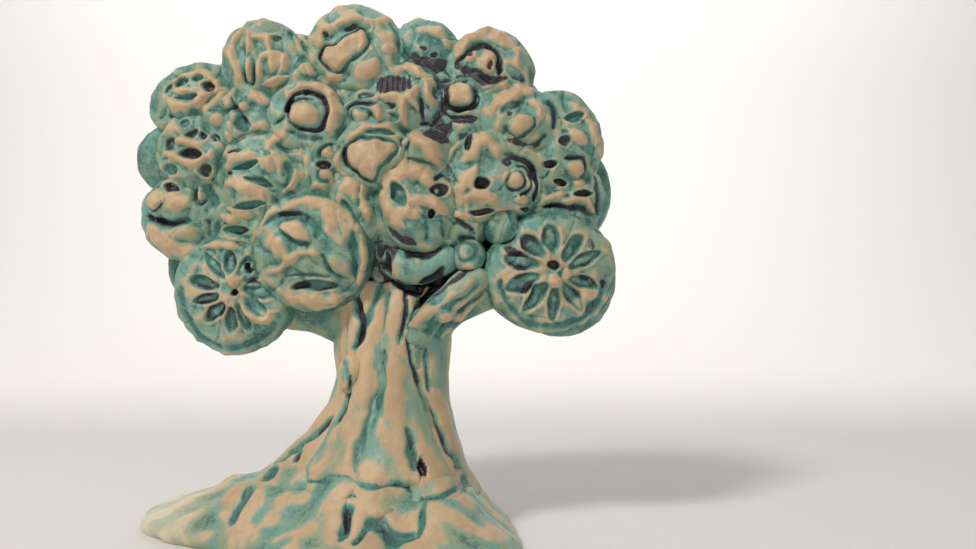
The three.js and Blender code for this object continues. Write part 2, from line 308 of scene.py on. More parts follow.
RELIEF["pad_top_eye"] = [
    (cut, [(-11, 1), (-8, 4), (-4, 6), (-1, 6), (2, 3), (3, -1), (3, -4)], 1.1, 2.2, 1),
    (cut, [(-11, 0), (-8, -2), (-4, -3), (0, -4.5), (5, -5)], 1.3, 1.4, 1),
    (rib, [(-11, 3), (-8, 8), (-2, 10.5), (4, 9.5), (9, 6)], 2.2, 1),
    (lump, (-1, 1), 6, 8, 1.9),
    (pit, (-0.5, -0.5), 3, 3.5, 1.2, 0.9),
    (lump, (-7, 2.5), 5, 4, 1.4, 30),
    (pit, (-7, 3), 2.6, 2.4, 1.2, 0.95),
    (rib, [(1, -4.6), (4, -3)], 0.6, 1),
    (pit, (8, -3), 9, 5, 0.8, 0.45, -30),
    (tint, (-5, -5.5), 24, 6, 4, 0.2, 1.2),
]

RELIEF["pad_ridge"] = [
    (rib, [(-6, 10), (-2, 6), (2, 2)], 1.3, 1.8),
    (cut, [(-4, 9.5), (0, 5), (4, 1.5)], 0.5, 1.4, 0.5),
    (rib, [(-2, 9), (2, 5), (5, 2)], 0.7, 1.1),
    (lump, (3.5, -3), 7, 5, 1.6),
    (rib, [(-8, -5), (-7, -1), (-4, 0)], 1.1, 1.5),
    (cut, [(0, 6), (0, 0), (-2, -4)], 1.4, 0.9, 0),
]

RELIEF["pad_pits"] = [
    (pit, (-2.5, 4.8), 5.5, 3.6, 1.4, 0, 20),
    (pit, (3.2, 6.2), 4.5, 2.8, 1.3, 0),
    (pit, (6.5, 3), 4.2, 3.4, 2, 0.95, -20),
    (pit, (0, 0), 9, 2.8, 1.6, 0.15, 5),
    (pit, (-7, 3), 4.5, 2.2, 1.2, 0.35, 60),
    (pit, (9.5, -2), 5, 3.4, 1.5, 0.1, 60),
    (rib, [(-8, 0), (-5, -2.5), (0, -3.8), (4, -3)], 1.1, 1.8),
    (rib, [(-5, 2), (-1, 2.2), (3, 2)], 0.8, 1.1),
    (rib, [(3, -4), (6, -1), (11, 2)], 1.4, 2),
    (rib, [(-6, 5), (-3, 7), (1, 7.5), (6, 7), (9, 4)], 0.9, 1.3),
    (cut, [(-7, -6), (-4, -7)], 0.9, 1.3, 0.9),
]

RELIEF["pad_ribbed"] = [
    *[(cut, [(u, 1), (u, 6.5)], 0.5, 1.2, 0.9) for u in (-9, -7.2, -5.4, -3.6, -1.8, 0, 1.6)],
    (tint, (-4, 3.6), 15, 7.5, 0, 0.3, 1.3),
    (rib, [(-9, 0), (-3, -0.5), (0, -2), (0, -6), (1, -10)], 1, 1.6),
    (rib, [(-3, 8), (1, 9.5), (5, 8.5), (7.5, 5), (8, 1), (9, -3)], 1.6, 1.7),
    (rib, [(4, 2), (2, -1), (4, -5)], 1.1, 1.3),
    (pit, (-5, -3), 6, 2.6, 1.4, 0.95),
    (cut, [(5, -1), (5.5, -5), (6.5, -8)], 0.8, 1.4, 0.6),
    (pit, (7, -9), 5, 2, 1.2, 0.7),
    (pit, (-4, -7), 7, 4, 1.2, 0.2),
]

RELIEF["pad_square_button"] = [
    (area, [(-3, 4.5), (0, 6.3), (3, 5.5), (4.3, 2.5), (3.5, -0.8), (0, -1.2), (-3, -0.5), (-3.4, 2)],
     1.9, 0.6),
    (cut, [(-4.5, 5), (-4.5, 0), (-3, -2), (2, -2.6), (5, -1), (5.6, 2), (5, 5)], 0.9, 1.9, 1.1),
    (cut, [(-6, 3), (-5.5, -2), (-4, -5), (1, -5.3), (5, -5)], 0.5, 1.2, 0.9),
    (lump, (2, -3.6), 3.5, 1.6, 0.9),
    (tint, (3, -6.5), 14, 5, 0, 0, 1.1),
]

RELIEF["pad_ring_button"] = [
    (ring, (1, 1), 6.5, 0.85, 2.2, 1.1, -110, 175),
    (ring, (1, 1), 6.5, 0.6, 1.4, 0.8, 175, 250),
    (cut, [(-6.5, 0), (-5, 3), (-1, 5), (3, 4.6)], 0.6, 1.3, 1),
    (lump, (0.3, -0.5), 9.5, 8, 2.1, 10),
    (rib, [(-5, 6), (0, 9), (6, 9.5), (10, 6.5), (10.5, 1), (8, -4)], 2, 1.9),
    (cut, [(-10, -4), (-6, -1)], 0.9, 1.3, 0.8),
    (cut, [(-5, -6), (0, -8), (5, -7.5)], 0.9, 1.2, 0.4),
]

RELIEF["pad_right_button"] = [
    (rib, [(-9, 2), (-6, 6), (-1, 9), (3, 10)], 2.1, 1.7),
    (rib, [(2, 6), (5.5, 4), (7, 0)], 1.5, 1.7),
    (lump, (0, -1.5), 9, 5, 2.1, 12),
    (cut, [(-5, -2), (-3, -4.5), (1, -4.4), (4, -2.5), (4.5, 0)], 0.6, 1.3, 0.45),
    (cut, [(-12, -5), (-7, -5.5), (-2, -8), (4, -8), (9, -5.5)], 1, 1.8, 0.9),
    (cut, [(9.5, 7), (11.3, 3), (11, -3)], 1, 2, 1.1),
    (pit, (-3.5, 1.2), 2.2, 1.6, 1, 0.8),
    (pit, (-3, 3.5), 8, 3, 1, 0.1, 35),
]

RELIEF["pad_clover"] = [
    (rib, [(-11, 3), (-8, 5), (-5, 8.5)], 1.9, 2),
    (lump, (-2, 6), 4, 8, 2, 8),
    (lump, (3, 3), 3.6, 3.2, 1.5),
    (rib, [(4, 7), (8, 6), (11, 3)], 1.9, 2),
    (lump, (-5, -1), 4.5, 5, 1.6),
    (rib, [(5, -7), (8, -4), (11, -2)], 1.7, 1.8),
    (lump, (-2, -6.5), 2.6, 3, 1.3),
    (lump, (-1, -3), 2, 4, 1.1, 10),
    (pit, (2.5, -2), 4.8, 6, 1.5, 0.1, 20),
    (cut, [(-1, 6), (0, 3), (3, 0), (5, -3)], 0.6, 1.3, 0.6),
    (cut, [(-8, 2), (-3, 1.5), (1, 3)], 0.6, 1.1, 0.5),
    (pit, (-6, -7), 3.6, 4, 1.5, 0.95),
    (pit, (-10, -7), 3, 3, 1.3, 0.95),
]

RELIEF["pad_right_petals"] = [
    (pit, (2, 8), 7, 4, 1.8, 0.4, 18),
    (lump, (3, 1.5), 8, 4.6, 1.9, -30),
    (pit, (-1, 0), 4.5, 4, 1.6, 0.8, 20),
    (pit, (-5, -7.5), 5.5, 2.8, 1.7, 0.95, 15),
    (lump, (3, -8.5), 5, 6.5, 1.9),
    (cut, [(0, -5), (2, -4.5), (5, -5), (6, -9)], 0.7, 1.4, 0.6),
    (pit, (-2, -13.5), 5.5, 3, 1.7, 0.95, -10),
    (lump, (4, -14), 4, 3.6, 1.2),
    (rib, [(1, 13), (5, 10), (8, 5), (9, -1)], 1.2, 1.1),
    (cut, [(-6, 14), (-4.5, 8), (-4, 2)], 1, 1.6, 1),
    (cut, [(-9, 0), (-5, 2), (0, 3)], 0.9, 1.4, 0.8),
]

RELIEF["pad_small_eye"] = [
    (cut, [(3, 1.5), (-1, 2), (-4.5, 0.5), (-6, -3), (-5, -7)], 0.8, 1.9, 1.1),
    (cut, [(-5, -7.2), (-1, -6.3)], 0.6, 1.1, 1),
    (ring, (-1.5, -2.6), 2.9, 0.5, 1.2, 0.6),
    (lump, (-1.5, -2.6), 3, 2.6, 1.3),
    (cut, [(1.5, -1), (2.2, -3), (3.5, -4.5)], 0.8, 1.4, 0.95),
    (rib, [(3, 1), (4.3, -1.5), (4, -4)], 0.6, 1),
    (pit, (0, 4.3), 5.5, 3, 0.9, 0.9),
]

RELIEF["pad_honeycomb"] = [
    (pit, (-7.5, 2), 6, 5.2, 1.4, 0, 50),
    (pit, (-7, -6), 6, 4.6, 1.4, 0, -20),
    (pit, (0, -1.5), 7.6, 4, 2.2, 1, 5),
    (pit, (4.5, -6), 5.4, 4.4, 2.2, 1, 25),
    (pit, (1, 5), 6, 2.8, 1.4, 0.35, 5),
    (pit, (5, 4), 3, 3, 1.5, 0.9),
    (pit, (8.5, 4), 3, 4.4, 1.7, 1),
    (pit, (7, -9.5), 3, 3, 1.5, 0.9),
    (pit, (-2, 8.5), 4, 3, 1.2, 0.1),
    (rib, [(-10, 5), (-6, 8), (-3, 6)], 1.1, 1.3),
    (rib, [(-5, 3), (-1, 2.2), (4, 1.6)], 1, 1.5),
    (rib, [(-10, -1.5), (-5, -2), (-2, -4.4), (2, -4.2), (5, -2)], 0.9, 1.6),
    (lump, (7, -1.5), 3.4, 2.8, 1.2),
]

RELIEF["pad_centre_heart"] = [
    (area, [(1, -8.5), (-4, -5.5), (-7.5, -1.5), (-6.5, 3), (-3, 4.5), (0, 3.5), (3, 3.2), (7, 2.5), (7.5, 0),
            (4, -4)], 1.5, 0.6, 1.3, 0.4),
    (cut, [(-8, 2.5), (-8.5, -1.5), (-6, -5), (0.5, -9)], 0.6, 1.5, 1.1),
    (rib, [(-8, 4.5), (-4, 6.5), (2, 8), (8, 6.5)], 0.9, 1.3),
    (pit, (4, 5.6), 11, 2.4, 1.1, 0.05, -3),
    (rib, [(-10, 1), (-10.3, -4), (-8, -8)], 0.8, 1.2),
    (cut, [(9, 1), (10.5, 4)], 0.7, 1.2, 0.8),
]

RELIEF["pad_petal_knob"] = [
    (rib, [(-4, 3.4), (-1, 1), (2, -2), (3, -5)], 2.3, 2.1),
    (pit, (-3.5, -4.8), 7.5, 3.4, 1.8, 0.25, -10),
    (pit, (-6.5, -4.8), 2.4, 1.8, 0.8, 0.95),
    (cut, [(-8, -2), (-6, 0), (-5, 2)], 0.7, 1.2, 0.8),
    (tint, (4, 3.8), 11, 5, -25, 0.3, 1.2),
]

RELIEF["pad_leaf_ball"] = [
    (rib, [(-11, 3), (-7, 6), (-1, 6)], 1.2, 1.7),
    (pit, (-5, 2.8), 9.5, 3, 1.9, 0.15, 12),
    (pit, (-10.2, 1), 2.2, 1.8, 1, 0.9),
    (rib, [(-11, -2), (-6, -4), (0, -6), (4, -6.5)], 1.9, 1.9),
    (pit, (-0.5, -2.4), 10.5, 2.8, 1.8, 0.15, -15),
    (lump, (3, 3), 7, 6, 1.2),
    (rib, [(4, 7.5), (7, 4), (7, 0)], 1.2, 1.5),
    (rib, [(2, 8), (5, 12), (10, 12), (13, 8)], 1.2, 1.7),
    (pit, (9, 9), 8, 4.4, 1.4, 0.1, -20),
    (pit, (-4, -9.5), 13, 2.6, 1.6, 0.15),
    (rib, [(8, -6), (11, -3), (12, 1)], 0.9, 1.2),
    (pit, (-8, 7.8), 6.5, 1.6, 1.3, 0.95, 5),
    (rib, [(-12, -10), (-8, -12), (-4, -13)], 1.2, 1.5),
    (cut, [(9, 4), (10, 0), (8, -4)], 0.8, 1, 0.05),
]

RELIEF["pad_rose_star"] = [
    (rib, [(-5, 2), (-8, -2), (-10, -6), (-8, -9)], 1.7, 2.2),
    (rib, [(-8, -7), (-3, -6.5), (1, -8.5)], 1.5, 2),
    (pit, (-3.2, -2.6), 5.4, 4.6, 2.2, 1.1, 30),
    (rib, [(-14, 6), (-12.5, 11), (-10, 14)], 1.3, 2),
    (rib, [(-10, 4), (-7, 6), (-5, 9), (-1, 11), (1, 6)], 1.7, 2.1),
    (pit, (-7.6, 10), 8, 3, 2, 1.1, 80),
    (lump, (6, -1), 7, 6.5, 1.5),
    (ring, (7, -2), 3.1, 0.5, 1.2, 0.4),
    (ring, (7, -2), 5.3, 0.5, 1.3, 0.6, -70, 80),
    (cut, [(3, 7), (8, 6), (12.5, 2.5), (14.5, -3), (13.5, -7)], 1, 2.1, 1.1),
    (lump, (9.5, -8), 5.5, 3, 1.5, 10),
    (lump, (-9, -13), 7, 3, 1.4, -10),
    (pit, (-3, -11), 9, 2.6, 1.5, 1.1),
    (pit, (12, -11), 8, 2.2, 1.4, 1),
    (pit, (4, 4.6), 4, 4, 1.2, 0.6),
    (tint, (9, 11.5), 14, 4, -5, 0.2, 1.1),
]

RELIEF["pad_hollow_knob"] = [
    (lump, (2, 4), 4, 3.4, 1.7),
    (ring, (2, 4), 2.5, 0.55, 1.4, 0.7, 0, 210),
    (pit, (1, 0), 4.4, 3.6, 2, 1.1),
    (lump, (2, -3.2), 3, 3, 1.4),
    (ring, (2, -3.2), 2.2, 0.5, 1, 0.2),
    (rib, [(5, 5), (6, 0), (6, -4)], 0.9, 1.5),
    (rib, [(-6, -6), (-4.5, -2), (-4, 3)], 1, 1.2),
    (rib, [(-3, -8), (0, -6.5), (2, -8)], 0.7, 1.2),
]

RELIEF["pad_folded"] = [
    (rib, [(-9, 9), (-3, 9.5), (2, 8.5), (5, 6)], 2.3, 2.2),
    (rib, [(-10, 8), (-10.5, 2), (-8, -4), (-4, -8)], 1.5, 2),
    (pit, (-5.5, 2), 9.5, 5, 2.2, 0.1, -65),
    (rib, [(-4, -5), (-2, -1), (2, 0), (7, -1), (9, -4)], 1.8, 2.2),
    (lump, (-1, -4), 6, 4, 1.3),
    (pit, (4.6, -4.6), 2.8, 4.6, 1.9, 1.1),
    (tint, (5, -9.5), 19, 9, -4, 0.9),
    (cut, [(2.5, -7), (3, -12)], 0.7, 0.9, 0),
    (cut, [(8, -7), (8.5, -12)], 0.7, 0.9, 0),
    (pit, (7, 4), 7, 5, 1.6, 0.3),
    (lump, (6.5, 3.6), 2.8, 2.8, 2.2),
    (cut, [(6, 7.5), (9.5, 8.5), (11.5, 6)], 0.9, 1.8, 1.1),
    (cut, [(-9, -8), (-5, -11), (0, -13)], 1.1, 1.4, 1.1),
]

RELIEF["pad_right_rim"] = [
    (pit, (-3, 5), 7.5, 3.8, 2, 1, -5),
    (lump, (3, 10), 5, 5, 1.6),
    (pit, (5, 1.5), 7.5, 3, 1.7, 0.95, 10),
    (cut, [(-12, -3), (-8, -3), (-3, -2.5), (3, -3.5), (8, -5)], 1.1, 1.9, 1.1),
    (rib, [(-8, 0), (-3, 2), (4, 5)], 1, 1.5),
    (rib, [(-2, -1), (5, -1), (9, -4)], 0.9, 1.4),
    (cut, [(9, 8), (10, 2), (10, -5)], 0.9, 1.3, 0.6),
]

RELIEF["pad_long_petal"] = [
    (rib, [(-3, 9), (0, 5), (1, 1)], 1.7, 1.7),
    (rib, [(3, 5), (4, 0), (5.5, -5)], 1.6, 1.9),
    (cut, [(1.5, 5), (2, -1)], 0.7, 1.2, 0.3),
    (pit, (-1, -3), 12, 3, 1.6, 0.1, -55),
    (cut, [(5, 9), (7, 4), (8, 0)], 0.6, 1.2, 0.7),
]

RELIEF["pad_curl"] = [
    (lump, (-7, 6), 7.6, 7.6, 2.6),
    (ring, (-7, 6), 3.1, 0.5, 1.2, 0.8, 200, 340),
    (rib, [(-4, 8.5), (0, 5.5), (4, 4)], 1.9, 1.7),
    (cut, [(-11, 1), (-6, 0), (-1, -1.5), (4, -1)], 1.3, 2.6, 1.1),
    (lump, (3, -4.5), 11, 5.6, 1.8, -15),
    (tint, (3.5, -4.5), 12, 6, -15, 0.8),
    (rib, [(-9, -2), (-6, -6), (0, -10), (6, -12)], 2.6, 2.2),
    (cut, [(9.5, -1), (12, -3), (12, -7), (9, -8)], 1.2, 2, 1.1),
    (pit, (-2, 9.5), 5.5, 3, 1.8, 1, -20),
    (cut, [(2, 11.5), (5, 10), (5.5, 6)], 0.9, 1.6, 1),
    (lump, (8, 9), 3.6, 6.5, 1.8, -10),
    (lump, (12, 7), 3, 6, 1.2),
    (cut, [(6, 6.5), (7, 4.5), (9.5, 6)], 0.6, 1.3, 0.95),
]

RELIEF["pad_large_heart"] = [
    (cut, [(-15, 8.5), (-11, 10.5), (-6, 12), (-1, 11), (2.5, 8), (2.5, 4.5)], 1.2, 1.4, 0),
    (area, [(-9.5, 7.5), (-5, 9.8), (-2, 9), (0, 6.5), (0.5, 3.5), (-4, 3), (-7.5, 4.5)], 1.7, 0.8),
    (cut, [(-9.5, 6), (-7.5, 3.5), (-4, 2), (0, 2.6)], 0.7, 1.3, 0.3),
    (rib, [(-14, 7), (-12, 3), (-9.5, 0), (-7.5, -2.5)], 1.8, 1.8),
    (rib, [(-16.5, 6), (-13, 12), (-5, 16.5), (4, 16.5), (11, 13), (15, 7)], 2.4, 1.5),
    (lump, (9, 8), 13, 8, 1.2, -60),
    (rib, [(-13, -6), (-9.5, -5), (-6, -2.5), (-3, -0.5), (3, -0.5)], 1, 1.5),
    (lump, (9.2, -4.8), 10, 5.6, 1.5, -42),
    (tint, (9.2, -4.8), 12, 7, -42, 1.3),
    (cut, [(4, -0.5), (5, -4), (7, -7), (10, -9)], 0.7, 1.5, 0.6),
    (pit, (2, -11), 16, 4.2, 1.6, 0, -3),
    (pit, (-3.4, -10.8), 6.5, 2.8, 0.7, 1, -8),
    (rib, [(-12, -10), (-6, -14), (2, -16.3), (9, -16.5), (13.5, -13.5)], 1.9, 1.4),
    (cut, [(-8, -7), (0, -7.5), (6, -8)], 0.6, 0.9, 0.15),
    (cut, [(14.2, 6), (14, -1), (14.2, -8)], 1, 1.4, 0.1),
    (rib, [(17, 5), (17.8, -3), (16, -11)], 1.3, 1.5),
    (tint, (-1, 15.5), 32, 8, 0, -0.6),
    (tint, (11, 9), 15, 9, -55, -0.6),
    (tint, (-12, 4), 7, 17, 25, -0.6),
    (tint, (3, -16), 26, 5, 0, -0.6),
    (tint, (17.4, -3), 3.5, 18, 0, -0.5),
]

RELIEF["pad_crescents"] = [
    (lump, (-2, 3), 8.5, 3.8, 1.9, -8),
    (rib, [(-6, -5.5), (-1, -5.2), (4, -5.5)], 1.5, 1.8),
    (lump, (7, -4), 2.8, 7, 1.5),
    (pit, (0, -1), 10, 4, 1.5, 0.1),
    (pit, (-4, -8.6), 4, 2, 1.2, 0.6),
    (cut, [(-8, -2), (-7, 1)], 1, 1.4, 0.9),
    (cut, [(-4, 6.5), (1, 5.5), (5, 6.5)], 0.8, 1.3, 0.3),
]

RELIEF["pad_small_fold"] = [
    (rib, [(-7, 7), (-3, 5), (1, 3.5)], 1.7, 1.6),
    (cut, [(-4, 3), (0, 2), (4, -2)], 0.8, 1.3, 1),
    (tint, (-5, -2), 11, 9, 0, 0.8),
    (pit, (4, 6), 6, 3, 1.2, 1, -10),
    (cut, [(-1, -3.5), (4, -3.5)], 1, 1.3, 1),
]

RELIEF["pad_right_flower"] = [
    (petals, (1, -0.5), 10, 4.6, 16.6, 6, 1.8, 92, 0),
    (ring, (1, -0.5), 17.6, 0.9, 1.1, 0.2, 190, 350),
    (pit, (0.5, 1.8), 5, 4.4, 2.2, 1.2),
    (lump, (1.2, -3.2), 5.4, 5, 2.2),
    (lump, (5.2, -1), 3.6, 6, 2, -10),
    (rib, [(6, -11), (11, -10), (15, -6)], 1.5, 1.6),
    (tint, (-12, 6), 9, 4, -20, 0, 1.1),
    (tint, (-11, -1), 9, 4, 10, 0, 0.5),
    (tint, (-7, -7), 7, 4, 45, 0, 0.3),
    (tint, (9, -10), 16, 10, -35, -0.35),
    (tint, (13, 9), 3, 7, 10, 0, 0.9),
]

RELIEF["pad_left_flower"] = [
    (petals, (1.5, 1.5), 11, 4.2, 14.6, 5, 1.7, 95, 0),
    (ring, (0, -1), 16.2, 1.2, 1.1, 0.05, 170, 330),
    (lump, (2.5, 4.5), 5, 5.5, 1.9, 10),
    (pit, (2.5, 0), 3.8, 2.8, 1.9, 1.2),
    (pit, (7.5, 8.5), 3.4, 5, 1.6, 1.1, 20),
    (pit, (10, 13.5), 3, 3, 1.4, 1),
    (rib, [(-9, 16), (-3, 17.5), (4, 17)], 1.4, 1.5),
    (rib, [(6, -4), (10, -7), (16, -5)], 1.4, 1.6),
    (cut, [(6, 2), (9, 4), (12, 3)], 0.6, 1.2, 0.9),
]
RELIEF["ball_upper"] = [(cut, [(2, 4), (4, 1), (4.5, -2)], 0.6, 0.4, 0.1)]
RELIEF["ball_lower"] = [(ring, (-0.5, 0.8), 2.9, 0.6, 0.5, 0.1), (lump, (-0.5, -4), 4, 2, 0.6)]

# The back's pads, seen from behind.
RELIEF["back_pad_star"] = [
    (petals, (0, 0), 8, 4, 15, 5.5, 1.5, 90, 0.3),
    (lump, (0, 0), 7, 7, 1.6),
    (ring, (0, 0), 16.2, 0.7, 0.8, 0.4),
]

RELIEF["back_pad_right_flower"] = [
    (petals, (0, 0), 10, 4.5, 17, 5, 1.6, 80, 0.3),
    (ring, (0, 0), 3.4, 0.8, 1.2, 0.8),
    (lump, (0, 0), 5, 5, 1.4),
]
RELIEF["back_pad_spiral"] = [
    (cut, spiral_points((0, 0), 15.5, 2.8), 1.1, 1.5, 0.4),
    (lump, (0, 0), 5, 5, 1),
]

RELIEF["back_pad_left_flower"] = [
    (petals, (0, 0), 9, 3.5, 14, 4.6, 1.5, 100, 0.3),
    (pit, (0, 0), 4.5, 4.5, 1.4, 0.9),
    (ring, (0, 0), 15, 0.7, -0.7, 0),
]

RELIEF["back_pad_rings"] = [
    (ring, (0, 0), 13.5, 1, 1.3, 0.5),
    (ring, (0, 0), 9, 1, 1.3, 0.5),
    (ring, (0, 0), 4.6, 0.9, 1.2, 0.8),
    (lump, (0, 0), 6, 6, 1.2),
]

RELIEF["back_pad_bud"] = [
    (area, [(0, 11), (-6, 4), (-7, -4), (0, -10), (7, -4), (6, 4)], 1.2, 0.6, 1.1, 0.6),
    (cut, [(0, 9), (-1, 0), (0, -8)], 0.8, 1, 0.3),
    (pit, (-10.5, -3), 9, 4, 1.3, 0.3, 70),
    (pit, (10.5, -3), 9, 4, 1.3, 0.3, 110),
]

RELIEF["back_pad_heart"] = [
    (area, heart_points((0, -0.5), 10, 8), 1.3, 0.6, 1.3, 0.7),
    (ring, (0, 0), 14.8, 0.8, 0.9, 0.3),
    (pit, (1, 2), 6, 3, 0.7, 0.1, 20),
]

RELIEF["back_pad_top"] = [
    (rib, [(-13, -4), (-8, 5), (0, 8), (8, 5), (13, -4)], 1.6, 1.3),
    (lump, (0, -1), 9, 7, 1.5),
    (ring, (0, -1), 6, 0.8, 1.1, 0.8, 0, 360, 0.8),
]

RELIEF["back_pad_sun"] = [
    (petals, (0, 0), 14, 8.5, 15.5, 3, 1.4, 90, 0.3),
    (ring, (0, 0), 7, 0.8, 1.2, 0.7),
    (lump, (0, 0), 10, 10, 1.3),
]

RELIEF["back_pad_left_mid"] = [
    (pit, (-4, 4), 8, 6, 1.5, 0.3, 30),
    (pit, (5, 4), 7, 6, 1.5, 0.9, -20),
    (pit, (-6, -4), 7, 5, 1.4, 0.2),
    (pit, (3, -4), 8, 6, 1.5, 0.3, 10),
    (ring, (0, 0), 11.5, 0.7, 0.7, 0.3),
]

RELIEF["back_pad_right_mid"] = [
    (area, heart_points((0, 4), 7, -10), 1.2, 0.6, 1.1, 0.6),
    (petals, (0, -9), 6, 1.5, 6.5, 2.6, 1.2, 90, 0.3),
    (rib, [(-11, -6), (-12, 4), (-6, 12)], 1.3, 1),
]

# The trunk's marks, in millimetres across from its axis and up from the table, seen from the front.
TRUNK_RELIEF = [
    (cut, [(-12, 86), (-9.8, 79), (-9, 72), (-9.5, 66), (-11, 63)], 1.3, 3, 1.6),
    (cut, [(-11, 55), (-13, 48), (-16, 42), (-22, 37), (-30, 31), (-37, 25)], 0.85, 1.7, 0.7),
    (cut, [(-37, 25), (-42, 19), (-47, 13), (-50, 8)], 1.4, 1.6, 0.35),
    (pit, (-31, 28), 7, 2.4, 1, 1, 50),
    (cut, [(-1, 63), (-1, 54), (-2.5, 47), (-5, 40), (-8, 33), (-9, 26)], 1.8, 1.5, 0.1),
    (cut, [(-3, 84), (-5.5, 77), (-8, 71), (-10, 62)], 1.1, 1.4, 0.2),
    (cut, [(5.5, 84), (5.5, 74), (4, 66)], 1, 1.7, 0.45),
    (cut, [(0, 82), (-1, 76), (-3, 68)], 0.9, 1, 0.05),
    (cut, [(6, 68), (8, 58), (11, 50), (14, 42), (17, 35), (20.5, 28), (25, 20), (30, 13)], 0.75, 1.9, 0.7),
    (cut, [(11, 64), (12, 56), (13.5, 50)], 0.7, 1.2, 0.4),
    (cut, [(6, 38), (8, 33), (10, 27)], 1.4, 1.6, 0.45),
    (pit, (11.4, 27), 8, 2.4, 2.8, 1.7, 95),
    (cut, [(12, 19), (13, 14), (11, 9)], 0.9, 1.6, 0.7),
    (cut, [(-24, 21), (-16, 23.5), (-8, 22)], 0.7, 1, 0.4),
    (cut, [(-7, 21.5), (0, 23), (6, 23.5), (9, 21)], 0.8, 1.1, 0.6),
    (cut, [(13, 19), (18, 19.5), (23, 20.5)], 0.8, 1.1, 0.6),
    (cut, [(-9, 19.5), (-9.5, 15), (-11, 9)], 2, 2.2, 0.4),
    (pit, (-10.5, 13), 6, 3, 1.4, 1.2, 80),
    (cut, [(-7, 8), (-3, 11.5), (1, 11), (5, 9), (10, 9)], 1.4, 2, 0.8),
    (cut, [(24, 22), (30, 17), (36, 12), (40, 8)], 1.8, 1.4, 0.1),
    (cut, [(31, 21), (37, 16), (41, 11)], 1.2, 1.2, 0.1),
    (rib, [(3, 60), (2, 50), (3, 40)], 2.4, 0.9),
    (rib, [(-6, 62), (-6, 54), (-8, 46)], 1.8, 0.9),
    (rib, [(14, 50), (18, 40), (22, 30)], 1.8, 0.9),
    (rib, [(9, 72), (15, 75.5), (24, 75)], 1.5, 2),
    (cut, [(12, 70), (18, 72), (25, 73)], 1, 1.3, 0.1),
    (cut, [(7.5, 73), (11, 79), (17, 84), (26, 89)], 1.3, 2.6, 1.5),
    (cut, [(0, 103), (6, 96.5), (11, 94.7), (17, 96)], 1.6, 1.4, 1.2),
    (cut, [(2, 84.5), (7, 83), (10.5, 81.5)], 1.5, 1.8, 1.4),
    (cut, [(10.5, 82), (13, 86), (17.5, 90)], 1.2, 1.6, 1.3),
    (pit, (-0.5, 90), 11, 5, 2.2, 1, 95),
    (lump, (10.6, 92), 2.6, 2.2, 0.7),
    (tint, (8.5, 86.8), 7, 2.6, 0, -0.9),
    (tint, (3.6, 88), 2.4, 7, 0, -0.7),
    (tint, (12, 91), 22, 7, 10, 0.5),
    *[(rib, [(12 + s, 73 - s), (18 + s, 79 - s), (27 + s, 86 - 0.7 * s)], 0.5, 0.8) for s in (0, 2.4, 5)],
    *[(cut, [(13 + s, 72 - s), (19 + s, 77.5 - s), (28 + s, 84 - 0.7 * s)], 0.4, 0.7, 0.5) for s in (0, 2.6)],
    (tint, (20, 78), 26, 10, 42, 0.45),
    (cut, [(-14, 60), (-12, 56.5), (-11.5, 52)], 0.8, 0.9, 0.2),
    (tint, (16, 62), 34, 9, 92, 0.5),
    (tint, (5, 33), 12, 8, 80, 0.35),
    (tint, (-24, 19), 22, 5, 14, 0.35),
    (tint, (-33, 27), 22, 7, 42, 0.4),
    (tint, (-16, 36), 20, 5, 60, 0.35),
    (tint, (3, 50), 26, 7, 88, -0.5),
    (tint, (14, 34), 26, 6, 112, -0.35),
    (tint, (-2, 18), 14, 7, 0, -0.4),
    (tint, (-20, 28), 16, 7, 30, -0.4),
    (tint, (-1, 97), 9, 18, 0, 0.3, 1.4),
]

# The back of the trunk: finger strokes that run up from the foot and draw together towards the neck.
TRUNK_BACK_RELIEF = [
    *[
        (cut, [(3.1 * x, 9), (1.9 * x, 28), (1.15 * x, 50), (x, 84)], 1.3, 1.4, 0.3)
        for x in (-11, -4.5, 1, 8)
    ],
    *[(rib, [(2.6 * x, 14), (1.6 * x, 34), (1.1 * x, 54), (x, 80)], 2, 1) for x in (-8, -1.5, 4.5, 11.5)],
]

# The share of each lump's face that the teal stain covers.
WASH = dict(
    pad_top_heart=0.42, pad_loops=0.5, pad_pits=0.65, pad_honeycomb=0.63, pad_clover=0.62,
    pad_ring_button=0.5, pad_small_eye=0.65, pad_hollow_knob=0.7, pad_curl=0.54, pad_crescents=0.64,
    pad_large_heart=0.58, pad_left_flower=0.7, pad_centre_heart=0.45, pad_petal_knob=0.4, pad_folded=0.45,
    pad_long_petal=0.55, pad_ribbed=0.55, pad_top_dark=0.8, pad_top_eye=0.48, pad_square_button=0.62,
    pad_right_button=0.52, pad_right_petals=0.64, pad_right_rim=0.74, pad_rose_star=0.55, ball_upper=0.85,
    ball_lower=0.75, pad_right_flower=0.68, pad_small_fold=0.75, trunk_knot=0.15, branch_left=0.85,
    branch_right=0.85, branch_centre=1, branch_right_inner=0.85, strand_right=0.5, strand_left=0.42,
    strand_centre_left=0.42, strand_centre_right=0.44,
)
WASH_ELSEWHERE = 0.6
PAD_WASH = 0.12  # what the pads hold besides

# Where the purple-black colour is laid on, partly a brushed stain and partly painted shade in the deep
# hollows
# between and under the lumps: the nearest lump, how far aside and up from its middle, the reach and the
# strength.
DARK_PLACES = [
    ("pad_square_button", -5.5, 6, 15, 0.7),
    ("pad_petal_knob", 4.5, 6, 8, 0.6),
    ("pad_rose_star", 0, -12.5, 17, 0.45),
    ("branch_centre", -8, -2, 12, 1.0),
    ("branch_centre", 4, -4, 9, 0.7),
    ("pad_clover", 2, 9, 10, 0.3),
    ("pad_honeycomb", -2, -6.5, 12, 0.3),
    ("pad_folded", 10.5, 7, 8, 0.5),
    ("pad_right_petals", -6.5, -7.5, 16, 0.4),
]

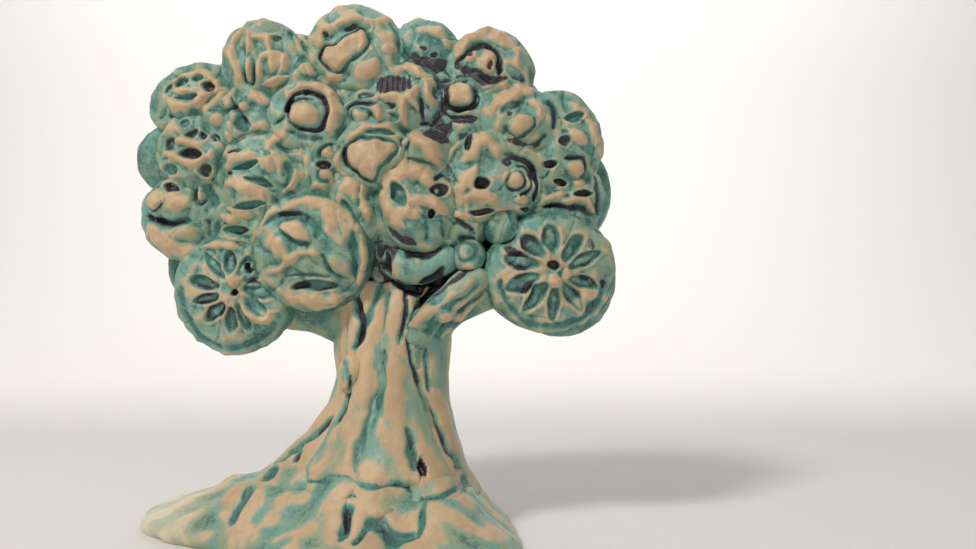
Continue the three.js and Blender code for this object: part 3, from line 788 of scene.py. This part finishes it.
# ---- Mesh work ----
def placed(name, data):
    """A new object in the scene."""
    thing = bpy.data.objects.new(name, data)
    bpy.context.scene.collection.objects.link(thing)
    return thing


def numbers_of(collection, name, width, kind=np.float32):
    """One property of each of a mesh's vertices or edges, a row each."""
    values = np.empty(len(collection) * width, kind)
    collection.foreach_get(name, values)
    return values.reshape(-1, width)


def fine_mesh(node, voxel):
    """The CAD node's solid as a new object with an even mesh, its points in millimetres and its edges."""
    piece = placed("clay_" + node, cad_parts[node].data.copy())
    remesh = piece.modifiers.new("remesh", "REMESH")
    remesh.mode = "VOXEL"
    remesh.voxel_size = voxel * MM
    remesh.use_smooth_shade = True
    graph = bpy.context.evaluated_depsgraph_get()
    mesh = bpy.data.meshes.new_from_object(piece.evaluated_get(graph))
    piece.modifiers.clear()
    piece.data = mesh
    mesh.name = piece.name
    mesh.materials.clear()
    points = numbers_of(mesh.vertices, "co", 3).astype(float) / MM
    return piece, points, numbers_of(mesh.edges, "vertices", 2, np.int32)


def normals_at(piece, points):
    """The mesh's normals once its vertices are moved to points."""
    piece.data.vertices.foreach_set("co", (points * MM).astype(np.float32).ravel())
    piece.data.update()
    return numbers_of(piece.data.vertex_normals, "vector", 3).astype(float)


def rounded_mesh(node, voxel, reach):
    """The CAD node's solid with its edges rounded off over that reach: the fine mesh and its normals."""
    piece, points, edges = fine_mesh(node, voxel)
    points = spread_over(points, edges, reach, voxel)
    return piece, points, edges, normals_at(piece, points)


def relaxed(values, edges, times, share=0.6):
    """values, evened out along the mesh's edges."""
    values = values.copy()
    a, b = edges[:, 0], edges[:, 1]
    count = len(values)
    degree = np.maximum(np.bincount(a, minlength=count) + np.bincount(b, minlength=count), 1)
    columns = values.reshape(count, -1)
    for _ in range(times):
        for i in range(columns.shape[1]):
            column = columns[:, i]
            total = np.bincount(a, column[b], count) + np.bincount(b, column[a], count)
            columns[:, i] = column + share * (total / degree - column)
    return values


def spread_over(values, edges, reach, voxel):
    """values, averaged over about that reach in millimetres, whatever the mesh's fineness."""
    return relaxed(values, edges, max(2, round((reach / voxel) ** 2)), 0.7)


def wobble(points, size, seed, waves=9):
    """Smooth unevenness of about -1 to 1, with features of about that size."""
    rng = np.random.default_rng(seed)
    total = np.zeros(len(points))
    for _ in range(waves):
        direction = rng.normal(size=3)
        direction *= rng.uniform(0.7, 1.4) * math.pi / size / np.linalg.norm(direction)
        total += np.sin(points @ direction + rng.uniform(0, 2 * math.pi))
    return total / math.sqrt(waves)


# ---- Gaps between lumps: a grid of solid cells, blurred ----
def solid_tree(node):
    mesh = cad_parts[node].data
    return BVHTree.FromPolygons([v.co for v in mesh.vertices], [tuple(p.vertices) for p in mesh.polygons])


def column_hits(tree, x, z, start, end):
    """Where a line along +Y enters and leaves a solid."""
    hits, y = [], start
    while len(hits) < 12:
        found = tree.ray_cast(Vector((x, y, z)), Vector((0, 1, 0)), end - y)
        if found[0] is None:
            break
        hits.append(found[0].y)
        y = found[0].y + 1e-6
    return hits


def solid_grid():
    """The lowest corner of a grid of cells round the tree, and the grid, with 1 in each cell that is clay."""
    low = np.array(cad_box[0]) / MM - GRID_MARGIN
    high = np.array(cad_box[1]) / MM + GRID_MARGIN
    grid = np.zeros(np.ceil((high - low) / CELL).astype(int), np.float32)
    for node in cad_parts:
        tree = solid_tree(node)
        first, last = box_mm(node)
        from_cell = np.floor((first - low) / CELL).astype(int)
        to_cell = np.ceil((last - low) / CELL).astype(int)
        for i in range(from_cell[0], to_cell[0]):
            for k in range(from_cell[2], to_cell[2]):
                x, z = low[0] + (i + 0.5) * CELL, low[2] + (k + 0.5) * CELL
                hits = column_hits(tree, x * MM, z * MM, (first[1] - 1) * MM, (last[1] + 1) * MM)
                for enter, leave in zip(hits[::2], hits[1::2]):
                    j0, j1 = (round((y / MM - low[1]) / CELL) for y in (enter, leave))
                    grid[i, j0:j1, k] = 1
    return low, grid


def blurred(grid, reach):
    """The grid after three box blurs of 2*reach+1 cells along each axis."""
    width = 2 * reach + 1
    for axis in range(3):
        for _ in range(3):
            moved = np.moveaxis(grid, axis, 0)
            before, after = np.repeat(moved[:1], reach + 1, 0), np.repeat(moved[-1:], reach, 0)
            sums = np.cumsum(np.concatenate([before, moved, after]), 0, dtype=np.float32)
            grid = np.moveaxis((sums[width:] - sums[:-width]) / width, 0, axis)
    return grid


def sampled(grid, points):
    """The grid's value at points, by linear interpolation."""
    place = (points - grid_low) / CELL - 0.5
    base = np.clip(np.floor(place).astype(int), 0, np.array(grid.shape) - 2)
    t = np.clip(place - base, 0, 1)
    total = np.zeros(len(points))
    for corner in range(8):
        step = np.array([corner & 1, corner >> 1 & 1, corner >> 2 & 1])
        weight = np.prod(np.where(step, t, 1 - t), axis=1)
        cell = base + step
        total += weight * grid[cell[:, 0], cell[:, 1], cell[:, 2]]
    return total


grid_low, solid = solid_grid()
near_solid = blurred(solid, 1)
far_solid = blurred(near_solid, 3)

# ---- Clay pieces ----
def store(piece, name, values):
    layer = piece.data.attributes.new(name, "FLOAT", "POINT")
    layer.data.foreach_set("value", values.astype(np.float32))


def stain_and_shade_piece(piece, points, edges, voxel, height, dark, teal, share, face, line_shade=0.7):
    """Stores the two washes on the mesh: they stay where the clay is low or hidden, and the high places are
    wiped bare. Where neighbouring lumps hide the clay, both washes also carry painted shade. share is how
    much of the face keeps its teal, and the last argument is how dark the painted shade lines in its creases
    and joints are."""
    normals = normals_at(piece, points)
    around = spread_over(height, edges, MARK, voxel)
    level = 0.8 * (height - around) + around - spread_over(around, edges, LUMP, voxel)
    fine = height - spread_over(height, edges, CREASE, voxel)
    level += 0.5 * fine
    facing = level[face > 0.5] if (face > 0.5).sum() > 50 else level
    rank = np.searchsorted(np.sort(facing), level) / len(facing)
    # How much nearby clay hides and shelters each point: this lays painted shade into both washes.
    crevice_shade = smoothstep(0.2, 0.62, sampled(near_solid, points + HIDES * normals))
    shelter_shade = smoothstep(0.22, 0.75, sampled(far_solid, points + SHADES * normals))
    brushed = np.zeros(len(points))
    # The dark at DARK_PLACES grows in crevices and low places there: painted shade.
    for node, aside, above, reach, strength in DARK_PLACES:
        x, _, z = middle_mm(node)
        apart = ((points[:, 0] - x - aside) ** 2 + (points[:, 2] - z - above) ** 2) / reach**2
        brushed += strength * np.exp(-apart) * (0.3 + crevice_shade + 0.6 * (rank < 0.45))
    # The teal pools in the sharpest creases, which also get painted shade.
    crease_pool_and_shade = smoothstep(0.03, 0.22, -fine)
    # The teal deepens where the clay is hidden: partly the wash pooling there, partly painted shade.
    hidden_pool_and_shade = 0.8 * crevice_shade + 0.35 * shelter_shade + 0.6 * (1 - face)
    wash = 1.7 * (share - rank) + 0.5 * teal + hidden_pool_and_shade * (0.4 if "ball" in piece.name else 1) + 0.3 * crease_pool_and_shade
    store(piece, "teal", np.clip(wash, -1.2, 1.4))
    # Painted shade in the gaps between lumps, added to the dark laid on at DARK_PLACES on the front.
    gap_stain_and_shade = 0.75 * crevice_shade * shelter_shade + 0.3 * shelter_shade + brushed * (points[:, 1] < 0)
    # Painted shade: thin dark lines where two lumps meet and along the sharpest creases, more in some places
    # than in others.
    joint_shade = smoothstep(0.22, 0.42, sampled(near_solid, points + MEETS * normals))
    shade_lines = np.clip(0.5 + 0.6 * wobble(points, 18, 41), 0, 1) * line_shade * (2.5 * joint_shade + crease_pool_and_shade)
    store(piece, "dark", 0.85 * dark + gap_stain_and_shade + 0.5 * shade_lines + 0.1 * crease_pool_and_shade - 0.12)


def thumbed(points):
    """The unevenness of hand-pressed clay, in millimetres: soft lumps, folds that stand up as ridges, and a
    few thin creases. It runs on from one lump to the next, as the potter's fingers did."""
    soft = 0.45 * wobble(points, 13, 11) + 0.2 * wobble(points, 3.2, 12) + 0.1 * wobble(points, 1.7, 13)
    folds = np.clip(1 - 1.4 * np.abs(wobble(points, 7, 14)), -0.6, 1)
    knuckles = np.clip(1 - 1.5 * np.abs(wobble(points, 4.2, 15)), -0.5, 1)
    creases = np.exp(-((wobble(points, 9, 16) / 0.1) ** 2))
    return soft + 0.45 * folds + 0.25 * knuckles - 0.45 * creases


def strayed(points):
    """How far the hand strayed from a mark's true outline, sideways and upwards."""
    return [0.5 * wobble(points, 9, seed) + 0.26 * wobble(points, 3.5, seed + 1) for seed in (31, 33)]


def beside(points, normals):
    """How closely a neighbour lies against each point, from 0 to 1: there the lumps are pressed together. The
    balls and the knot were laid on last, so nothing is pressed round them."""
    close = smoothstep(0.12, 0.5, sampled(near_solid, points + PRESSES * normals))
    for node in ("ball_upper", "ball_lower", "trunk_knot"):
        x, _, z = middle_mm(node)
        apart = np.hypot(points[:, 0] - x, points[:, 2] - z)
        close *= 1 - np.exp(-((apart / 8.5) ** 4))
    return close


def pad_piece(node, front):
    voxel = PAD_VOXEL if front else BACK_VOXEL
    piece, points, edges, normals = rounded_mesh(node, voxel, PAD_ROUNDING)
    points += (PAD_SWELL + PAD_SQUEEZE * beside(points, normals))[:, None] * normals
    x, _, z = middle_mm(node)
    outwards = -1.0 if front else 1.0
    across, up = in_crown(x, z)
    slope = 2 * DOME_RISE
    lean = np.array([slope * across / CROWN_HALF_WIDTH, outwards, slope * up / CROWN_HALF_HEIGHT])
    lean /= np.linalg.norm(lean)
    on_face = smoothstep(0.25, 0.7, normals @ lean)
    u, v = -outwards * (points[:, 0] - x), points[:, 2] - z
    du, dv = strayed(points)
    height, dark, teal = pressed(u + du, v + dv, RELIEF.get(node, []))
    # The rims were rolled smooth, so the thumb's unevenness is mostly on the faces.
    uneven = thumbed(points) * (0.35 if node.startswith("ball") else 0.4 + 0.6 * on_face)
    relief = height * on_face
    points += normals * uneven[:, None] + lean * relief[:, None]
    points = relaxed(points, edges, 1)
    share = WASH.get(node, WASH_ELSEWHERE) + PAD_WASH
    stain_and_shade_piece(piece, points, edges, voxel, relief + uneven, dark * on_face, teal * on_face, share, on_face)
    return piece


def trunk_piece(node):
    piece, points, edges, normals = rounded_mesh(node, TRUNK_VOXEL, TRUNK_ROUNDING)
    du, dv = strayed(points)
    aside, above = points[:, 0] - TRUNK_X + du, points[:, 2] - TABLE_Z + dv
    marks = np.array(pressed(aside, above, TRUNK_RELIEF)) * smoothstep(0.0, 0.5, -normals[:, 1])
    marks += np.array(pressed(-aside, above, TRUNK_BACK_RELIEF)) * smoothstep(0.0, 0.5, normals[:, 1])
    height, dark, teal = marks
    # Fingers drew the clay upwards, so its folds and its stain run up the trunk.
    drawn = points * (1, 1, 0.3)
    folds = 0.14 * wobble(drawn, 4, 21) + 0.4 * wobble(drawn, 11, 22) + 0.16 * wobble(points, 6, 23)
    if node == "trunk_knot":
        folds = thumbed(points)
    swell = TRUNK_SWELL + folds + TRUNK_SQUEEZE * beside(points, normals)
    if node == "foot_plate":
        points[:, 2] += FOOT_CLIMB * climb(points) * smoothstep(0.3, 0.9, normals[:, 2])
    points += normals * (swell + height)[:, None]
    points[:, 2] = np.maximum(points[:, 2], TABLE_Z)
    points = relaxed(points, edges, 1)
    share = WASH.get(node, WASH_ELSEWHERE)
    outside = smoothstep(POST_RADIUS + 4, POST_RADIUS + 7, np.hypot(points[:, 0] - TRUNK_X, points[:, 1]))
    stain_and_shade_piece(piece, points, edges, TRUNK_VOXEL, height + folds, dark, teal, share, outside, 0.3)
    if node == "foot_plate":
        store(piece, "pale", smoothstep(PALE_STARTS, PALE_FULL, points[:, 0]))
    return piece


def climb(points):
    """How far the foot's clay is pushed up against the roots, from 0 to 1."""
    bend = np.zeros(len(points))
    trees = [solid_tree(node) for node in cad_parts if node.startswith("root")]
    for i, point in enumerate(points):
        if point[2] > ROOT_FOOT - CLIMB_REACH:
            nearest = min(tree.find_nearest(Vector(point * MM))[3] for tree in trees) / MM
            bend[i] = math.exp(-((nearest / CLIMB_REACH) ** 2))
    return bend


def core_piece(node):
    """The wall behind the pads, filled out so that it closes the gaps between them."""
    piece, points, edges = fine_mesh(node, TRUNK_VOXEL)
    points = relaxed(points, edges, 8)
    wall = dome_face(points[:, 0], points[:, 2]) - WALL_BEHIND_PADS
    thickness = np.abs(points[:, 1])
    fill = smoothstep(WALL_STARTS, WALL_FULL, points[:, 2]) * smoothstep(1, 5, thickness)
    points[:, 1] += fill * (np.sign(points[:, 1]) * np.maximum(wall, thickness) - points[:, 1])
    uneven = thumbed(points)
    points += normals_at(piece, points) * uneven[:, None]
    # The wall shows only deep between the pads, so its dark and teal are partly stain and partly painted
    # shade.
    every = np.ones(len(points))
    stain_and_shade_piece(piece, points, edges, TRUNK_VOXEL, uneven, 0.35 * every, 0.5 * every, 0.8, every)
    return piece


# ---- Fired clay ----
def linear(*colour):
    """An sRGB colour of 0 to 255 as the linear one that shaders take."""
    shares = [c / 255 for c in colour]
    return tuple(c / 12.92 if c <= 0.04045 else ((c + 0.055) / 1.055) ** 2.4 for c in shares)


DARKEST, DARK, DARK_LIGHT = linear(31, 22, 30), linear(48, 39, 48), linear(85, 70, 81)
BUFF, BUFF_DEEP, PALE = linear(224, 194, 155), linear(200, 170, 133), linear(232, 222, 192)
TEAL, TEAL_DEEP, TEAL_GREY = linear(126, 176, 162), linear(76, 130, 120), linear(156, 174, 142)


def clay_material(name, streak=1.0):
    """Buff clay under its two washes, which also carry painted shade where the clay is hidden. A streak below
    1 draws the stain out along the height.
    """
    material = bpy.data.materials.new(name)
    material.use_nodes = True
    nodes, links = material.node_tree.nodes, material.node_tree.links
    shader = nodes["Principled BSDF"]

    def made(kind, inputs, output, **settings):
        """A new node's output. Numbers and colours go on the node's own sockets, and the rest is linked."""
        node = nodes.new("ShaderNode" + kind)
        for label, value in settings.items():
            setattr(node, label, value)
        for socket, value in inputs.items():
            if isinstance(value, (int, float)):
                node.inputs[socket].default_value = value
            elif isinstance(value, tuple):
                node.inputs[socket].default_value = (*value, 1)
            else:
                links.new(value, node.inputs[socket])
        return node.outputs[output]

    place = made("TexCoord", {}, "Object")
    stretch = nodes.new("ShaderNodeMapping")
    stretch.inputs["Scale"].default_value = (1, 1, streak)
    links.new(place, stretch.inputs["Vector"])
    brushed = stretch.outputs["Vector"]

    def noise(scale, detail, rough, warp=0.0, along=place):
        inputs = {"Vector": along, "Scale": scale, "Detail": detail, "Roughness": rough, "Distortion": warp}
        return made("TexNoise", inputs, "Fac")

    def maths(operation, a, b):
        return made("Math", {0: a, 1: b}, 0, operation=operation)

    def spread(value, low, high, to_low=0.0, to_high=1.0):
        inputs = dict(enumerate((value, low, high, to_low, to_high)))
        return made("MapRange", inputs, 0, interpolation_type="SMOOTHSTEP")

    def mix(factor, first, second):
        return made("Mix", {"Factor": factor, "A": first, "B": second}, "Result", data_type="RGBA")

    def attribute(label):
        return made("Attribute", {}, "Fac", attribute_name=label)

    def varied(value, *layers):
        """value, shifted up and down by noises of the given strengths."""
        for layer, strength in layers:
            value = maths("ADD", value, maths("MULTIPLY", maths("SUBTRACT", layer, 0.5), strength))
        return value

    broad = noise(60, 3, 0.5, 0.6, brushed)
    patchy = noise(210, 4, 0.6, 0.8, brushed)
    mottle = noise(460, 4, 0.65, 0.5, brushed)
    grain = noise(1400, 3, 0.6)

    # The teal wash runs from a thin film over the buff clay to a deep colour where it pooled; that deep
    # colour is also painted shade where the clay is hidden.
    wash = varied(attribute("teal"), (broad, 0.8), (patchy, 1.2), (mottle, 0.8), (grain, 0.4))
    film = spread(wash, -0.38, 0.34)
    pooled_and_shaded = spread(varied(wash, (mottle, 1.2)), 0.35, 1.5)
    # The dark attribute holds the purple-black stain together with the painted shade of the gaps.
    dark_stain_and_shade = varied(attribute("dark"), (patchy, 1.0), (mottle, 1.2), (grain, 0.5))
    dark_share = spread(dark_stain_and_shade, 0.38, 0.9, 0, 0.96)

    bare = mix(spread(varied(broad, (mottle, 0.5)), 0.25, 0.75), BUFF, BUFF_DEEP)
    bare = mix(attribute("pale"), bare, PALE)
    washed = mix(spread(varied(broad, (patchy, 0.8)), 0.3, 0.7), TEAL, TEAL_GREY)
    washed = mix(pooled_and_shaded, washed, TEAL_DEEP)
    specks = maths("MULTIPLY", pooled_and_shaded, spread(grain, 0.56, 0.66, 0, 0.75))
    washed = mix(specks, washed, DARK)
    film = maths("MULTIPLY", film, spread(attribute("pale"), 0, 1, 1, 0.35))
    colour = mix(film, bare, washed)
    dark_tone = mix(spread(grain, 0.35, 0.65), DARK, DARK_LIGHT)
    dark_tone = mix(spread(attribute("dark"), 1.2, 1.9), dark_tone, DARKEST)
    colour = mix(dark_share, colour, dark_tone)
    links.new(colour, shader.inputs["Base Color"])

    rough = maths("ADD", spread(patchy, 0.3, 0.7, 0.4, 0.56), maths("MULTIPLY", film, -0.1))
    links.new(rough, shader.inputs["Roughness"])
    shader.inputs["Specular IOR Level"].default_value = 0.4

    relief = maths("ADD", maths("MULTIPLY", grain, 0.35), noise(420, 5, 0.62, 0.4))
    bump = made("Bump", {"Strength": 0.8, "Distance": 0.4 * MM, "Height": relief}, "Normal")
    links.new(bump, shader.inputs["Normal"])
    return material


pad_clay = clay_material("pad_clay")
trunk_clay = clay_material("trunk_clay", 0.28)
core_clay = clay_material("core_clay")

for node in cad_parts:
    if node.startswith(("pad_", "ball_", "back_pad_")):
        piece = pad_piece(node, not node.startswith("back_"))
        slot, clay = "clay_pad", pad_clay
    elif node == "crown_core":
        piece = core_piece(node)
        slot, clay = "clay_core", core_clay
    else:
        piece = trunk_piece(node)
        slot, clay = "clay_trunk", trunk_clay
    piece.data.materials.append(clay)
    piece.data.shade_smooth()
    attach(piece, "root")
    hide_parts(node)

# ---- Stage: pale sweep, soft studio light, camera, all in metres ----
FLOOR_FRONT, WALL_TOP, HALF_WIDTH = -5.0, 2.2, 4.0
BEND_START, BEND = 0.55, 0.35  # where the floor starts to curve up, and the curve's radius
PAPER = (0.82, 0.80, 0.78, 1)
TREE_MIDDLE, WALL_BEHIND = (0, 0, 0.1), (0, 0.95, 0.85)  # what the lights point at
CAMERA_PLACE, LENS = (0.0325, -0.312, 0.088), 33.86  # in front of the tree, level and a little to its right


def sweep():
    """A pale floor that curves up into a wall."""
    turns = np.linspace(0.1, math.pi / 2, 12)
    profile = [(FLOOR_FRONT, 0.0), (BEND_START, 0.0)]
    profile += [(BEND_START + BEND * math.sin(a), BEND - BEND * math.cos(a)) for a in turns]
    profile += [(BEND_START + BEND, WALL_TOP)]
    verts = [(side * HALF_WIDTH, y, z) for y, z in profile for side in (-1, 1)]
    faces = [(2 * i, 2 * i + 1, 2 * i + 3, 2 * i + 2) for i in range(len(profile) - 1)]
    mesh = bpy.data.meshes.new("sweep")
    mesh.from_pydata(verts, [], faces)
    mesh.shade_smooth()
    paper = bpy.data.materials.new("paper")
    paper.use_nodes = True
    shader = paper.node_tree.nodes["Principled BSDF"]
    shader.inputs["Base Color"].default_value = PAPER
    shader.inputs["Roughness"].default_value = 0.9
    mesh.materials.append(paper)
    placed("sweep", mesh)


def soft_light(name, place, target, size, power, colour):
    data = bpy.data.lights.new(name, "AREA")
    data.size = size
    data.energy = power
    data.color = colour
    light = placed(name, data)
    light.location = place
    light.rotation_euler = (Vector(target) - Vector(place)).to_track_quat("-Z", "Y").to_euler()


sweep()
soft_light("key", (-0.5, -0.6, 0.9), TREE_MIDDLE, 0.2, 6.6, (1.0, 0.97, 0.93))
soft_light("fill", (0.7, -0.7, 0.35), TREE_MIDDLE, 0.9, 0.9, (0.95, 0.98, 1.0))
soft_light("top", (0.0, 0.1, 0.95), TREE_MIDDLE, 0.8, 0.55, (1.0, 0.99, 0.97))
soft_light("back", (0.3, 0.7, 1.4), TREE_MIDDLE, 0.8, 1.3, (1.0, 0.98, 0.95))
soft_light("wall", (0.0, 0.35, 0.95), WALL_BEHIND, 1.2, 9.0, (1.0, 0.99, 0.955))

world = bpy.data.worlds.new("studio")
world.use_nodes = True
background = world.node_tree.nodes["Background"].inputs
background["Color"].default_value = (0.97, 0.97, 1.0, 1)
background["Strength"].default_value = 0.26
bpy.context.scene.world = world
bpy.context.scene.view_settings.view_transform = "Standard"

camera_data = bpy.data.cameras.new("camera")
camera_data.sensor_width = 36
camera_data.lens = LENS
camera_data.clip_start = 0.01
camera = placed("camera", camera_data)
camera.location = CAMERA_PLACE
camera.rotation_euler = (math.radians(90), 0, 0)
bpy.context.scene.camera = camera
